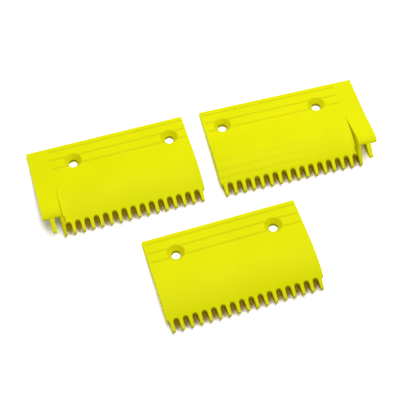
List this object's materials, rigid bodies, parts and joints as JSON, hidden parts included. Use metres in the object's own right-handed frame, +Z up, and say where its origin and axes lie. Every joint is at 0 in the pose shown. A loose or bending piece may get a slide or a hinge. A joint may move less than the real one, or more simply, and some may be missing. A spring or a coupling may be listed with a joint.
{
  "type": "escalator comb plate segments",
  "caption": "Yellow moulded escalator comb segments, left side, centre and right side, with tapered teeth that run in the step grooves and recessed screw holes.",
  "frame": {"origin": "centre of the set's footprint on the table it lies on", "axes": "+X along the row of teeth, from the left segment to the right one; the teeth point to -Y; +Z is up"},
  "size_m": [0.3352, 0.2174, 0.0241],
  "materials": {
    "yellow_plastic": "injection-moulded, satin gloss safety yellow"
  },
  "bodies": {
    "root": {"left_comb": "yellow_plastic", "centre_comb": "yellow_plastic", "right_comb": "yellow_plastic"}
  },
  "joints": []
}
